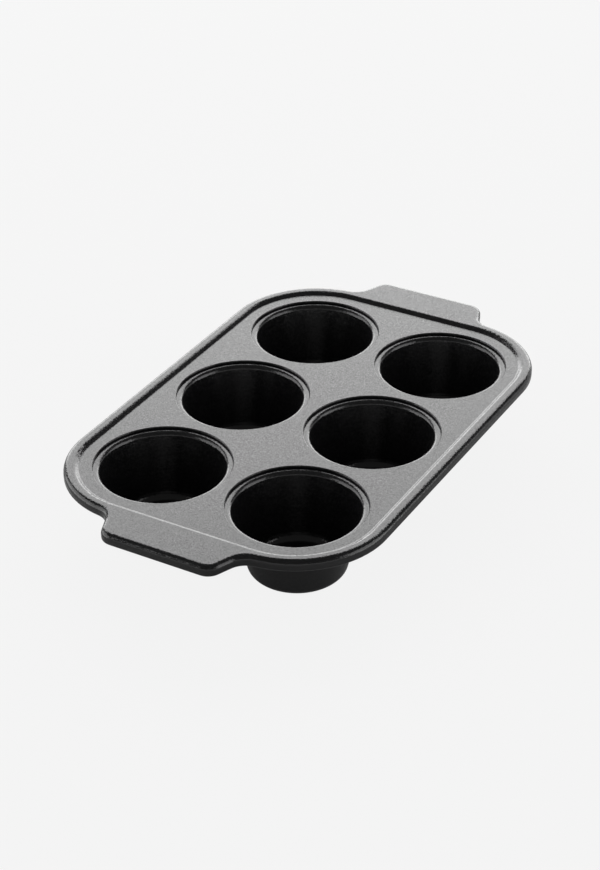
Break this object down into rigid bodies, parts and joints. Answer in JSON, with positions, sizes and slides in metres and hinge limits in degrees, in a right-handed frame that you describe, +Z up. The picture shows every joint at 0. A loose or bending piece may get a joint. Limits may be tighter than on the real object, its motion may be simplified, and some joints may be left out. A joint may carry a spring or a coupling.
{
  "type": "popover pan",
  "caption": "Baking pan with round tapered cups locked into a flat deck, a raised rim rolled round a wire, and a wide flat grip at each end.",
  "frame": {"origin": "under the middle of the pan, on the surface that the undersides of the cups stand on", "axes": "+X across the pan, to the right as seen from the front grip; +Y along the pan, from the front grip to the back grip; +Z up"},
  "size_m": [0.2424, 0.3992, 0.053],
  "materials": {
    "nonstick_coating": "satin non-stick coating with a fine speckle, near black",
    "wire_steel": "bare drawn wire, hidden inside the rolled edge"
  },
  "bodies": {
    "root": {"deck_plate": "nonstick_coating", "cup_front_left": "nonstick_coating", "cup_front_right": "nonstick_coating", "cup_middle_left": "nonstick_coating", "cup_middle_right": "nonstick_coating", "cup_back_left": "nonstick_coating", "cup_back_right": "nonstick_coating", "rim_wire": "wire_steel"}
  },
  "joints": []
}
